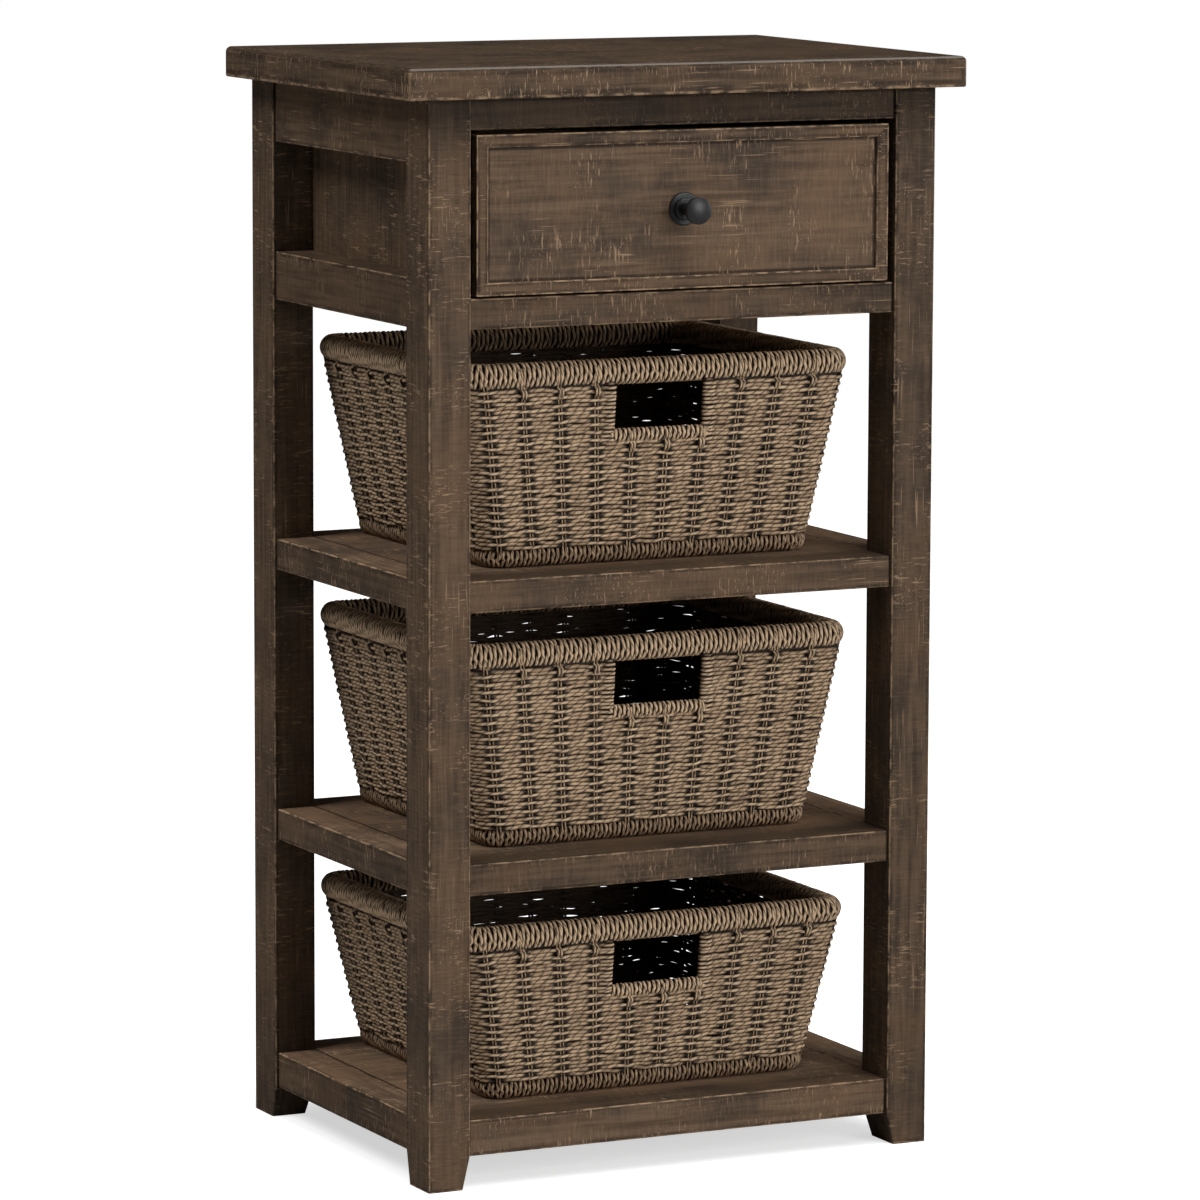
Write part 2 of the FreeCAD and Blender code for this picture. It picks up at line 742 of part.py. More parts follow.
os.makedirs("parts", exist_ok=True)
for piece_name, piece in all_pieces().items():
    piece.translate(Vector(0, frame_shift, 0))
    piece.exportStep("parts/" + piece_name + ".step")
    print(piece_name, len(piece.Solids), "solids", round(piece.Volume), piece.isValid())
print("origin lies", round(frame_shift, 3), "mm in front of the middle of the leg frame")
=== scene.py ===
import json
import math

import bpy
import numpy as np
from mathutils import Matrix, Vector


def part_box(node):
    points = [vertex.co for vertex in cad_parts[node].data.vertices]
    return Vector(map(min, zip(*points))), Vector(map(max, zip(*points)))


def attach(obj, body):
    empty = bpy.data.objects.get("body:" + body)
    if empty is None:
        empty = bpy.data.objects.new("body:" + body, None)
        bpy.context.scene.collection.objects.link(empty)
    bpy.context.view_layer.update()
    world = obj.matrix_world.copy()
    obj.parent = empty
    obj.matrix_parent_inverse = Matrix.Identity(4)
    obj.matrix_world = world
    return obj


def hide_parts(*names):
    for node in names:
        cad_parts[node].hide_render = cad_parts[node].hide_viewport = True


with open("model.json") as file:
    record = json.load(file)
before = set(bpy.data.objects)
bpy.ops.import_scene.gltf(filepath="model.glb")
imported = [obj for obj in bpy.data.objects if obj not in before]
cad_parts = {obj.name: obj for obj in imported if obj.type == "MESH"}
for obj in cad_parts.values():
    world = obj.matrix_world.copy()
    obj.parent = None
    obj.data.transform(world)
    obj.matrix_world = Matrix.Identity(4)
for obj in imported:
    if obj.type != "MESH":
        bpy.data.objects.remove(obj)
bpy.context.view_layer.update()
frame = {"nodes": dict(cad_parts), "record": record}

# Basket stand: looks. Lengths are in metres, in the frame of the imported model.
# The front faces -Y, and +X is to the right of someone facing the drawer.

random = np.random.default_rng(20)

# Camera, fitted to the photograph's corners
camera_turn = math.radians(26.105)
camera_tilt = math.radians(7.92)
camera_roll = math.radians(0.203)
camera_distance = 5.4628
camera_target = Vector((0.01103, 0.0105, 0.45088))
camera_lens = 194.07
camera_sensor = 36.0
camera_clip = 200.0

# Wood: board tones, painted light and shade on level tops at front and back, and painted shade on legs
usual_tone = 0.93
# The front upper rail's low tone is painted shade, for the shadow under the top
painted_shade_and_board_tones = {"front_upper_rail": 0.40, "front_lower_rail": 0.89, "top_panel": 0.90, "drawer_front": 1.12,
               "side_upper_rail_left": 1.0, "side_upper_rail_right": 1.0,
               "side_lower_rail_left": 0.83, "side_lower_rail_right": 0.83,
               "side_panel_left": 1.08, "side_panel_right": 1.08,
               "drawer_bead_top": 1.04, "drawer_bead_bottom": 1.02,
               "leg_front_left": 0.98, "leg_front_right": 0.84,
               "middle_shelf_board": 0.87, "lower_shelf_board": 1.12}
# Painted light and shade on level tops, at the front and further back: the slab's top darker, the shelves'
# tops darker in front of the baskets and paler behind
painted_top_lights = {"panel": (-0.32, -0.32), "shelf": (-0.36, 0.98)}
painted_top_front_span = (-0.15, -0.095)
# Painted shade on the legs: on their fronts close under the top, and on their faces into the stand
leg_painted_top_shadow = 0.70
leg_painted_top_shadow_reach = 0.068
leg_painted_inner_shade = 0.32

# Wood: wear. A span gives where a line ends and where it is full, measured in from an edge
rub_width = 0.0016
top_rub_width = 0.0034
mark_strength = 0.58
top_mark_strength = 0.82
mark_edge_reach = 0.016
# The line beside covering strips is painted shade
cover_painted_shade_span = (0.0032, 0.0014)
seam_span = (0.0022, 0.0002)
arris_front_span = (0.0045, 0.0035)
arris_end_span = (0.0026, 0.0018)
# The pale line on the top's front edge is a painted highlight
arris_highlight_span = (0.0016, 0.0010)
arris_dark_span = (0.0032, 0.0026)
no_cover = -1.0
no_joint = 9.0
seed_reach = 3

# Wood: texture frequencies per metre, along the grain and across it
grain_stretch = (11.0, 210.0)
weather_stretch = (520.0, 60.0)
streak_stretch = (5.0, 60.0)
comb_stretch = (600.0, 80.0)
scratch_stretch = (22.0, 760.0)
rub_stretch = (90.0, 160.0)

# Baskets: cord, and the length of it in which its plies turn once
basket_names = ("upper", "middle", "lower")
cord_lay = 0.0085
cord_tones = (0.1, 0.9)
cord_start_reach = 0.01
thick_sides = 8
thin_sides = 6

# Baskets: rows of weft
weave_inset = 0.0019
rim_stand = 0.0015
wall_corner_tuck = 0.004
rim_corner = 0.013
ring_corner = 0.012
row_pitch = 0.0033
weft_radius = 0.0021
weft_flatness = 0.65
weft_over = 0.0013
weft_under = 0.0015
weft_thinning = 0.21
weft_swelling = 0.12
weft_unevenness = 0.06
weft_uneven_limits = (-0.10, 0.12)
weft_dip_reach = 0.0115
row_swing_wobble = 0.00018
row_rise_wobble = 0.00040
wobble_harmonics = range(3, 60, 2)
wobble_divisor = 4
lowest_row_tuck = 0.0004
highest_row_gap = 0.0014
hidden_row_rise = 0.0014
hidden_row_setback = -0.0018

# Baskets: stakes, and the hooks that tie them
stakes_round = 38
stake_phase = 0.25
stake_steps = (-0.5, -0.38, -0.29, -0.22, -0.165, -0.11, -0.055, 0, 0.055, 0.11, 0.165, 0.22, 0.29, 0.38)
stake_radius = 0.0011
stake_pair_gap = 0.0027
pair_sides = (-0.5, 0.5)
stake_points = 34
stake_jitter = 0.00012
hook_radius = 0.0013
hook_angles = (35, 10, -15, -40, -62)
hook_press = 0.0006
hook_tail_drops = (0.002, 0.005, 0.008)
hook_tail_stands = (0.0042, 0.0034, 0.0014)
# Their depth gives painted highlight, and shade the painted shade on their edges
hook_look = {"tone": 0.9, "depth": 0.4, "shade": 0.5}
front_wall_limit = -0.9
flat_wall_limit = 0.99

# Baskets: the wrapped rolls of rim and base ring
# A roll's tone less roll_depth_offset is its depth: the rim gets painted highlight, the ring painted shade
# under the leaning wall; roll_inside_shade is painted shade on a roll's inner side
rim_tone_and_highlight = 1.0
rim_wrap_pitch = 0.0043
rim_wrap_radius = 0.0017
ring_tone_and_shade = 0.22
roll_inside_shade = 0.95
ring_wrap_pitch = 0.0041
ring_wrap_radius = 0.0016
wrap_steps = 26
wrap_kink = 0.0005
wrap_kinks_round = 3
wrap_kink_range = (0.5, 1.3)
wrap_jitter = 0.00018
wrap_squeeze = 0.010
wrap_even_share = 0.9
roll_depth_offset = 0.4
roll_edge_shade = 0.45
roll_core_points = 160
roll_core_sink = 1.7
roll_core_sides = 14

# Baskets: the hand hole, with a wrapped bar below it and a post at each side that rows turn back round
handle_half_width = 0.0395
handle_height = 0.035
handle_drop = 0.0015
handle_border = 0.0105
broken_rows_above = 0.003
broken_rows_share = 0.9
bar_radius = 0.0059
bar_setback = 0.0013
bar_overrun = 0.004
bar_steps = 18
bar_wrap_pitch = 0.0041
bar_wrap_radius = 0.0016
bar_kink_share = 0.8
bar_core_points = 12
bar_core_sink = 0.3
bar_core_sides = 10
# Its depth gives painted highlight, and shade the painted shade on its edges
bar_look = {"tone": 0.9, "depth": 0.5, "shade": 0.5}
post_reach = 0.0042
post_depth = 0.0031
post_clearance = 0.0015
calm_length = 0.006
calm_sink = 0.35
turn_points = 15
turn_half_angle = 150
turn_front_lift = 0.85
turn_back_lift = 0.5
turn_thickness = 0.76

# Baskets: the floor
floor_pitch = 0.0036
floor_lift = 0.0078
floor_columns = 9
floor_wave = 0.0014
floor_cord_radius = 0.0015
floor_jitter = 0.0001
floor_row_points = 64
floor_stake_points = 20

# Stage: the lamps' side, the floor's half side, and the box round the stand's feet where the paper dims
lamp_side = 2.4
stage_reach = 80.0
dim_half_width = 0.20
dim_half_depth = 0.13
dim_middle = 0.01
dim_fade = 0.15
dim_side_share = 2.0
paper_seen = (0.66, 0.66, 0.66, 1)
paper_bounce = (0.50, 0.495, 0.49, 1)
glow_least = 0.61
glow_rise = 0.37
white = (1.0, 1.0, 1.0, 1)
world_light = 0.03


# Node helpers


class Nodes:
    """Builds one material's node tree in short calls."""

    def __init__(self, name):
        self.material = bpy.data.materials.new(name)
        self.material.use_nodes = True
        self.tree = self.material.node_tree
        self.shader = self.tree.nodes["Principled BSDF"]

    def link(self, value, socket):
        if isinstance(value, bpy.types.NodeSocket):
            self.tree.links.new(value, socket)
        else:
            socket.default_value = value

    def add(self, kind, **settings):
        node = self.tree.nodes.new(kind)
        for key, value in settings.items():
            setattr(node, key, value)
        return node

    def math(self, operation, first, second=0.0, third=0.0):
        node = self.add("ShaderNodeMath", operation=operation)
        self.link(first, node.inputs[0])
        self.link(second, node.inputs[1])
        self.link(third, node.inputs[2])
        return node.outputs[0]

    def vector(self, operation, first, second):
        node = self.add("ShaderNodeVectorMath", operation=operation)
        self.link(first, node.inputs[0])
        self.link(second, node.inputs[1])
        return node.outputs[0]

    def split(self, vector):
        node = self.add("ShaderNodeSeparateXYZ")
        self.link(vector, node.inputs[0])
        return node.outputs[0], node.outputs[1], node.outputs[2]

    def noise(self, where, scale, detail=3.0, roughness=0.55, distortion=0.0):
        node = self.add("ShaderNodeTexNoise")
        self.link(where, node.inputs["Vector"])
        node.inputs["Scale"].default_value = scale
        node.inputs["Detail"].default_value = detail
        node.inputs["Roughness"].default_value = roughness
        node.inputs["Distortion"].default_value = distortion
        return node.outputs[0]

    def ramp(self, value, low, high):
        """0 below low, 1 above high, smooth between."""
        node = self.add("ShaderNodeMapRange", interpolation_type="SMOOTHSTEP")
        self.link(value, node.inputs["Value"])
        self.link(low, node.inputs["From Min"])
        self.link(high, node.inputs["From Max"])
        return node.outputs[0]

    def mix(self, share, first, second, blend="MIX"):
        node = self.add("ShaderNodeMix", data_type="RGBA", blend_type=blend)
        self.link(share, node.inputs[0])
        self.link(first, node.inputs[6])
        self.link(second, node.inputs[7])
        return node.outputs[2]

    def layer(self, base, mask, strength, *rgb):
        """Lays a colour over base where the mask is 1, at this strength."""
        return self.mix(self.math("MULTIPLY", mask, strength), base, colour(*rgb))

    def attribute(self, name, kind="GEOMETRY", output=1):
        node = self.add("ShaderNodeAttribute", attribute_name=name, attribute_type=kind)
        return node.outputs[output]

    def bump(self, height, strength, distance):
        node = self.add("ShaderNodeBump")
        node.inputs["Strength"].default_value = strength
        node.inputs["Distance"].default_value = distance
        self.link(height, node.inputs["Height"])
        self.link(node.outputs[0], self.shader.inputs["Normal"])

    def where(self):
        return self.add("ShaderNodeTexCoord").outputs["Object"]


def colour(red, green, blue):
    """An sRGB colour, 0 to 255, as the linear colour that shaders take."""
    shares = [channel / 255 for channel in (red, green, blue)]
    linear = [s / 12.92 if s <= 0.04045 else ((s + 0.055) / 1.055) ** 2.4 for s in shares]
    return (*linear, 1.0)


# Materials


def edge_distance(n):
    """How far a point on a board's face lies from the board's nearest long edge."""
    centre = n.attribute("board_centre", "OBJECT")
    half = n.attribute("board_half", "OBJECT")
    apart = n.add("ShaderNodeVectorMath", operation="ABSOLUTE")
    n.link(n.vector("SUBTRACT", n.where(), centre), apart.inputs[0])
    x, y, z = n.split(n.vector("SUBTRACT", half, apart.outputs[0]))
    least = n.math("MINIMUM", x, y)
    most = n.math("MAXIMUM", x, y)
    return n.math("MAXIMUM", least, n.math("MINIMUM", most, z))


def stretched(n, where, axis, along, across):
    """Texture places with one frequency along the grain and another across it. Ends take the next axis."""
    side = [across, across, across]
    side[axis] = along
    end = [across, across, across]
    end[1 - axis if axis < 2 else 0] = along
    facing = n.split(n.add("ShaderNodeTexCoord").outputs["Normal"])[axis]
    choice = n.add("ShaderNodeMix", data_type="VECTOR")
    n.link(n.ramp(n.math("ABSOLUTE", facing), 0.6, 0.8), choice.inputs["Factor"])
    choice.inputs[4].default_value = side
    choice.inputs[5].default_value = end
    return n.vector("MULTIPLY", where, choice.outputs[1])


def worn_marks(n, where, axis, edge):
    """Rubbed edges, combs of short strokes across the grain, long scratches and specks, as one mask.
    Beside it, a mask of the dark stain that is left next to the rubbed edges."""
    near_edge = n.ramp(edge, mark_edge_reach, 0.0)
    cluster = n.math("MULTIPLY_ADD", near_edge, 0.10, n.noise(where, 22.0, 2.0, 0.55))
    cluster = n.ramp(cluster, 0.46, 0.66)
    comb = n.ramp(n.noise(stretched(n, where, axis, *comb_stretch), 1.0, 2.0, 0.5), 0.60, 0.68)
    comb = n.math("MULTIPLY", comb, cluster)
    scratch = n.ramp(n.noise(stretched(n, where, axis, *scratch_stretch), 1.0, 1.0, 0.5), 0.67, 0.75)
    scratch = n.math("MULTIPLY", scratch, n.ramp(n.noise(where, 12.0, 1.0, 0.5), 0.48, 0.62))
    speck = n.math("MULTIPLY", n.ramp(n.noise(where, 640.0, 0.0, 0.5), 0.74, 0.80), cluster)
    marks = n.math("MAXIMUM", comb, n.math("MAXIMUM", scratch, speck))
    marks = n.math("MULTIPLY", marks, n.attribute("mark_strength", "OBJECT", 2))
    broken = n.ramp(n.noise(stretched(n, where, axis, *rub_stretch), 1.0, 3.0, 0.6), 0.40, 0.60)
    reach = n.attribute("rub_width", "OBJECT", 2)
    rubbed = n.ramp(edge, reach, n.math("MULTIPLY", reach, 0.25))
    rubbed = n.math("MULTIPLY", rubbed, n.math("MULTIPLY_ADD", broken, 0.84, 0.06))
    stain = n.ramp(edge, n.math("MULTIPLY", reach, 2.3), n.math("MULTIPLY", reach, 1.5))
    stain = n.math("MULTIPLY", stain, n.ramp(n.noise(where, 30.0, 2.0, 0.5), 0.36, 0.60))
    return n.math("MAXIMUM", marks, rubbed), n.math("MULTIPLY", stain, 0.55)


def cover_painted_shade(n, edge):
    """Painted shade: a dark line on a board along the inner edge of the strips that cover its border, in
    the crease beside them.
    """
    inside = n.math("SUBTRACT", edge, n.attribute("cover_width", "OBJECT", 2))
    return n.math("MULTIPLY", n.ramp(inside, *cover_painted_shade_span), 0.75)


def top_lift(n, depth_place):
    """Painted light and shade on a board's top: how much paler or darker than its sides it is, along its
    front and further back.
    """
    front = n.attribute("front_lift", "OBJECT", 2)
    back = n.attribute("top_lift", "OBJECT", 2)
    behind = n.ramp(depth_place, *painted_top_front_span)
    lift = n.math("MULTIPLY_ADD", behind, n.math("SUBTRACT", back, front), front)
    upward = n.ramp(n.split(n.add("ShaderNodeTexCoord").outputs["Normal"])[2], 0.6, 0.9)
    return n.math("MULTIPLY_ADD", lift, upward, 1.0)


def front_arris(n, place):
    """Masks of a painted highlight along the top's upper front edge, and of a dark band there and at its
    ends.
    """
    half = n.split(n.attribute("board_half", "OBJECT"))
    from_top = n.math("SUBTRACT", half[2], place[2])
    near_front = n.ramp(n.math("ADD", half[1], place[1]), *arris_front_span)
    from_end = n.math("SUBTRACT", half[0], n.math("ABSOLUTE", place[0]))
    near_end = n.ramp(from_end, *arris_end_span)
    near_rim = n.math("MAXIMUM", near_front, near_end)
    chosen = n.attribute("front_arris", "OBJECT", 2)
    painted_highlight = n.math("MULTIPLY", n.ramp(from_top, *arris_highlight_span), near_front)
    dark = n.math("MULTIPLY", n.ramp(from_top, *arris_dark_span), near_rim)
    return n.math("MULTIPLY", painted_highlight, chosen), n.math("MULTIPLY", dark, chosen)


def leg_painted_shade(n, place):
    """Painted shade on legs: their fronts darker close under the top, for the top's shadow, and the faces
    that look into the stand darker, for the shade inside it.
    """
    centre = n.split(n.attribute("board_centre", "OBJECT"))
    half = n.split(n.attribute("board_half", "OBJECT"))
    normal = n.split(n.add("ShaderNodeTexCoord").outputs["Normal"])
    under_top = n.ramp(n.math("SUBTRACT", half[2], place[2]), leg_painted_top_shadow_reach, 0.0)
    under_top = n.math("MULTIPLY", under_top, n.ramp(normal[1], -0.4, -0.8))
    inward = [n.math("MULTIPLY", normal[k], n.math("SIGN", centre[k])) for k in (0, 1)]
    inner = n.ramp(n.math("MINIMUM", *inward), -0.6, -0.9)
    shade = n.math("MAXIMUM", n.math("MULTIPLY", under_top, leg_painted_top_shadow),
                   n.math("MULTIPLY", inner, leg_painted_inner_shade))
    return n.math("SUBTRACT", 1.0, n.math("MULTIPLY", shade, n.attribute("is_leg", "OBJECT", 2)))


def wood_material(name, axis):
    """Dark brown stained wood along one axis, with rubbed edges and fine scratches across the grain, and
    painted light and shade on tops, on legs, along the top's front edge and beside covering strips.
    """
    n = Nodes(name)
    where = n.vector("ADD", n.where(), n.attribute("board_seed", "OBJECT"))
    grain = n.noise(stretched(n, where, axis, *grain_stretch), 1.0, 5.0, 0.65, 0.3)
    weather = n.noise(stretched(n, where, axis, *weather_stretch), 1.0, 3.0, 0.6)
    streak = n.noise(stretched(n, where, axis, *streak_stretch), 1.0, 3.0, 0.5)
    patch = n.noise(where, 13.0, 4.0, 0.6)
    tone = n.mix(n.ramp(grain, 0.28, 0.74), colour(71, 57, 45), colour(110, 90, 72))
    tone = n.layer(tone, n.ramp(streak, 0.50, 0.72), 0.5, 72, 61, 52)
    tone = n.layer(tone, n.ramp(patch, 0.44, 0.66), 0.55, 112, 88, 67)
    tone = n.layer(tone, n.ramp(patch, 0.48, 0.32), 0.65, 60, 51, 44)
    tone = n.layer(tone, n.ramp(weather, 0.48, 0.72), 0.22, 130, 107, 86)
    tone = n.layer(tone, n.ramp(weather, 0.50, 0.28), 0.26, 56, 46, 39)
    edge = edge_distance(n)
    marks, stain = worn_marks(n, where, axis, edge)
    # Dark stain beside rubbed edges, and painted shade in the crease beside the covering strips
    tone = n.mix(n.math("MAXIMUM", stain, cover_painted_shade(n, edge)), tone, colour(34, 28, 24))
    tone = n.mix(marks, tone, colour(176, 147, 117))
    place = n.split(n.vector("SUBTRACT", n.where(), n.attribute("board_centre", "OBJECT")))
    painted_highlight, dark = front_arris(n, place)
    tone = n.layer(tone, dark, 0.7, 46, 36, 28)
    # Pale grey painted highlight on the top's upper front edge
    tone = n.layer(tone, painted_highlight, 0.8, 156, 148, 140)
    seam = n.math("SUBTRACT", n.attribute("joint_reach", "OBJECT", 2), n.math("ABSOLUTE", place[axis]))
    tone = n.layer(tone, n.ramp(seam, *seam_span), 0.85, 20, 16, 13)
    # The board's tone, with its painted shade, scaled by the painted light and shade on tops and legs
    shade = n.add("ShaderNodeVectorMath", operation="SCALE")
    n.link(tone, shade.inputs[0])
    lift = n.math("MULTIPLY", top_lift(n, place[1]), leg_painted_shade(n, place))
    n.link(n.math("MULTIPLY", n.attribute("board_tone", "OBJECT", 2), lift), shade.inputs["Scale"])
    n.link(shade.outputs[0], n.shader.inputs["Base Color"])
    n.shader.inputs["Roughness"].default_value = 0.62
    n.shader.inputs["Specular IOR Level"].default_value = 0.10
    n.bump(n.math("ADD", grain, n.math("MULTIPLY", marks, -0.5)), 0.3, 0.0006)
    return n.material


def plain_wood_material():
    """The paler, unstained boards inside the drawer bay."""
    n = Nodes("drawer_box_wood")
    along = n.vector("MULTIPLY", n.where(), (12.0, 1.0, 12.0))
    grain = n.noise(along, 20.0, 5.0, 0.6, 0.5)
    n.link(n.mix(grain, colour(150, 122, 92), colour(186, 158, 124)), n.shader.inputs["Base Color"])
    n.shader.inputs["Roughness"].default_value = 0.6
    n.bump(grain, 0.2, 0.0005)
    return n.material


def black_metal_material():
    """The knob and its plate, dull black with a fine grit."""
    n = Nodes("black_metal")
    grit = n.noise(n.where(), 900.0, 3.0, 0.6)
    n.link(n.mix(grit, colour(20, 20, 21), colour(34, 34, 35)), n.shader.inputs["Base Color"])
    n.link(n.math("MULTIPLY_ADD", grit, 0.15, 0.34), n.shader.inputs["Roughness"])
    n.shader.inputs["Metallic"].default_value = 0.2
    n.bump(grit, 0.08, 0.0003)
    return n.material


def steel_material():
    """Plain screws."""
    n = Nodes("screw_steel")
    grit = n.noise(n.where(), 700.0, 2.0, 0.5)
    n.link(n.mix(grit, colour(150, 150, 148), colour(190, 190, 186)), n.shader.inputs["Base Color"])
    n.shader.inputs["Metallic"].default_value = 1.0
    n.shader.inputs["Roughness"].default_value = 0.35
    return n.material


def cord_material():
    """Twisted tan cord. The strand attribute holds the way along a strand and round it, and the
    tone_and_shade attribute its tone, how far it faces out of the basket and how far it stands out of the
    weave.
    The last two drive painted shade on strand edges, inside the basket and on strands set back, and a
    painted highlight on strands that stand out; the ply grooves get painted shade too."""
    n = Nodes("woven_cord")
    along, around_cos, around_sin = n.split(n.attribute("strand"))
    tone, outward, depth = n.split(n.attribute("tone_and_shade"))
    angle = n.math("ARCTAN2", around_sin, around_cos)
    turn = n.math("ADD", n.math("MULTIPLY", along, 2 * math.pi / cord_lay), n.math("MULTIPLY", angle, 2.0))
    ply = n.math("ABSOLUTE", n.math("SINE", n.math("MULTIPLY", turn, 0.5)))
    fibre = n.noise(n.where(), 480.0, 4.0, 0.6)
    length = n.add("ShaderNodeCombineXYZ")
    n.link(n.math("MULTIPLY", along, 130.0), length.inputs[0])
    n.link(n.math("MULTIPLY", tone, 40.0), length.inputs[1])
    worn = n.noise(length.outputs[0], 1.0, 2.0, 0.5)
    base = n.mix(tone, colour(172, 143, 113), colour(226, 194, 157))
    base = n.layer(base, n.ramp(fibre, 0.40, 0.75), 0.5, 112, 90, 71)
    base = n.layer(base, n.ramp(worn, 0.48, 0.30), 0.5, 104, 83, 65)
    base = n.layer(base, n.ramp(worn, 0.52, 0.74), 0.5, 222, 194, 162)
    # Painted highlight on strands that stand out of the weave
    base = n.layer(base, n.ramp(depth, 0.05, 0.6), 0.5, 236, 206, 171)
    # Painted shade in the grooves between the plies
    base = n.layer(base, n.ramp(ply, 0.62, 0.04), 0.78, 67, 51, 38)
    # Painted shade on strand edges, between neighbouring strands
    base = n.layer(base, n.ramp(outward, 0.95, 0.57), 0.93, 36, 27, 20)
    # Painted shade on strands set back behind stakes, and on dark rolls
    base = n.layer(base, n.ramp(depth, -0.02, -0.66), 0.95, 20, 15, 11)
    # Painted shade on faces towards the basket's inside
    base = n.layer(base, n.ramp(outward, -0.2, -0.7), 0.9, 88, 72, 57)
    n.link(base, n.shader.inputs["Base Color"])
    n.shader.inputs["Roughness"].default_value = 0.7
    n.shader.inputs["Specular IOR Level"].default_value = 0.25
    n.bump(n.math("ADD", ply, n.math("MULTIPLY", fibre, 0.4)), 0.6, 0.0006)
    return n.material


def core_material():
    """The dark core under the wrapped rolls."""
    n = Nodes("cord_core")
    fibre = n.noise(n.where(), 300.0, 3.0, 0.6)
    n.link(n.mix(fibre, colour(40, 31, 24), colour(70, 56, 44)), n.shader.inputs["Base Color"])
    n.shader.inputs["Roughness"].default_value = 0.85
    return n.material


# Strands


def tube_axes(path, normal, closed):
    """Unit directions square to a path at its points: the nearest to normal, and the one beside it."""
    if closed:
        tangent = np.roll(path, -1, 0) - np.roll(path, 1, 0)
    else:
        tangent = np.gradient(path, axis=0)
    tangent /= np.linalg.norm(tangent, axis=1, keepdims=True)
    normal = normal - tangent * np.sum(normal * tangent, axis=1, keepdims=True)
    normal /= np.linalg.norm(normal, axis=1, keepdims=True)
    return normal, np.cross(tangent, normal)


class StrandMesh:
    """Collects tubes along paths and makes one mesh of them."""

    def __init__(self):
        self.points = []
        self.faces = []
        self.strand = []
        self.tone_and_shade = []
        self.count = 0

    def add(self, path, normal, out, radius, sides=thick_sides, closed=False, flat=1.0, tone=None,
            depth=0.0, shade=1.0):
        """A tube along path. normal points to its angle 0 and out away from the basket's inside."""
        path = np.asarray(path, float)
        normal, binormal = tube_axes(path, np.asarray(normal, float), closed)
        angle = np.arange(sides) * 2 * math.pi / sides
        spread = np.broadcast_to(np.asarray(radius, float), (len(path),))[:, None, None]
        front = normal[:, None, :] * np.cos(angle)[None, :, None]
        side = binormal[:, None, :] * np.sin(angle)[None, :, None]
        points = path[:, None, :] + spread * (front * flat + side)
        steps = np.linalg.norm(np.diff(path, axis=0), axis=1)
        along = np.concatenate([[0.0], np.cumsum(steps)])
        rows = len(path)
        index = np.arange(rows * sides).reshape(rows, sides) + self.count
        after = np.roll(index, -1, 0) if closed else index[1:]
        before = index if closed else index[:-1]
        quads = np.stack([before, np.roll(before, -1, 1), np.roll(after, -1, 1), after], -1).reshape(-1, 4)
        facing = np.sum((front + side) * np.asarray(out, float)[:, None, :], axis=2)
        own_tone = random.uniform(*cord_tones)
        strand = np.empty((rows, sides, 3))
        strand[..., 0] = along[:, None] + random.uniform(0, cord_start_reach)
        strand[..., 1] = np.cos(angle)
        strand[..., 2] = np.sin(angle)
        # The second and third values drive painted shade and highlight in the cord's material
        tone_and_shade = np.zeros((rows, sides, 3))
        tone_and_shade[..., 0] = own_tone if tone is None else tone
        tone_and_shade[..., 1] = 1 - shade * (1 - facing)
        tone_and_shade[..., 2] = np.broadcast_to(np.asarray(depth, float), (rows,))[:, None]
        self.points.append(points.reshape(-1, 3))
        self.faces.append(quads)
        self.strand.append(strand.reshape(-1, 3))
        self.tone_and_shade.append(tone_and_shade.reshape(-1, 3))
        self.count += rows * sides
        if not closed:
            self.cap(path[0], index[0], strand[0, 0], tone_and_shade[0], True)
            self.cap(path[-1], index[-1], strand[-1, 0], tone_and_shade[-1], False)

    def cap(self, centre, ring, strand, tone_and_shade, first):
        """Closes one end of a tube with a fan of thin quads about its middle."""
        sides = len(ring)
        middle = self.count
        self.points.append(centre[None, :])
        self.strand.append(strand[None, :])
        self.tone_and_shade.append(tone_and_shade.mean(0)[None, :])
        self.count += 1
        quads = []
        for k in range(0, sides, 2):
            corner = [ring[k], ring[(k + 1) % sides], ring[(k + 2) % sides], middle]
            quads.append(corner[::-1] if first else corner)
        self.faces.append(np.array(quads))

    def make(self, name, material):
        """One object of all the tubes, with the attributes that the cord's material reads."""
        points = np.concatenate(self.points)
        faces = np.concatenate(self.faces)
        mesh = bpy.data.meshes.new(name)
        mesh.vertices.add(len(points))
        mesh.vertices.foreach_set("co", points.ravel())
        mesh.loops.add(faces.size)
        mesh.loops.foreach_set("vertex_index", faces.ravel())
        mesh.polygons.add(len(faces))
        mesh.polygons.foreach_set("loop_start", np.arange(len(faces)) * 4)
        mesh.polygons.foreach_set("use_smooth", np.ones(len(faces), bool))
        for key, values in (("strand", self.strand), ("tone_and_shade", self.tone_and_shade)):
            layer = mesh.attributes.new(key, "FLOAT_VECTOR", "POINT")
            layer.data.foreach_set("vector", np.concatenate(values).ravel())
        mesh.update()
        mesh.validate()
        mesh.materials.append(material)
        piece = bpy.data.objects.new(name, mesh)
        bpy.context.scene.collection.objects.link(piece)
        return piece


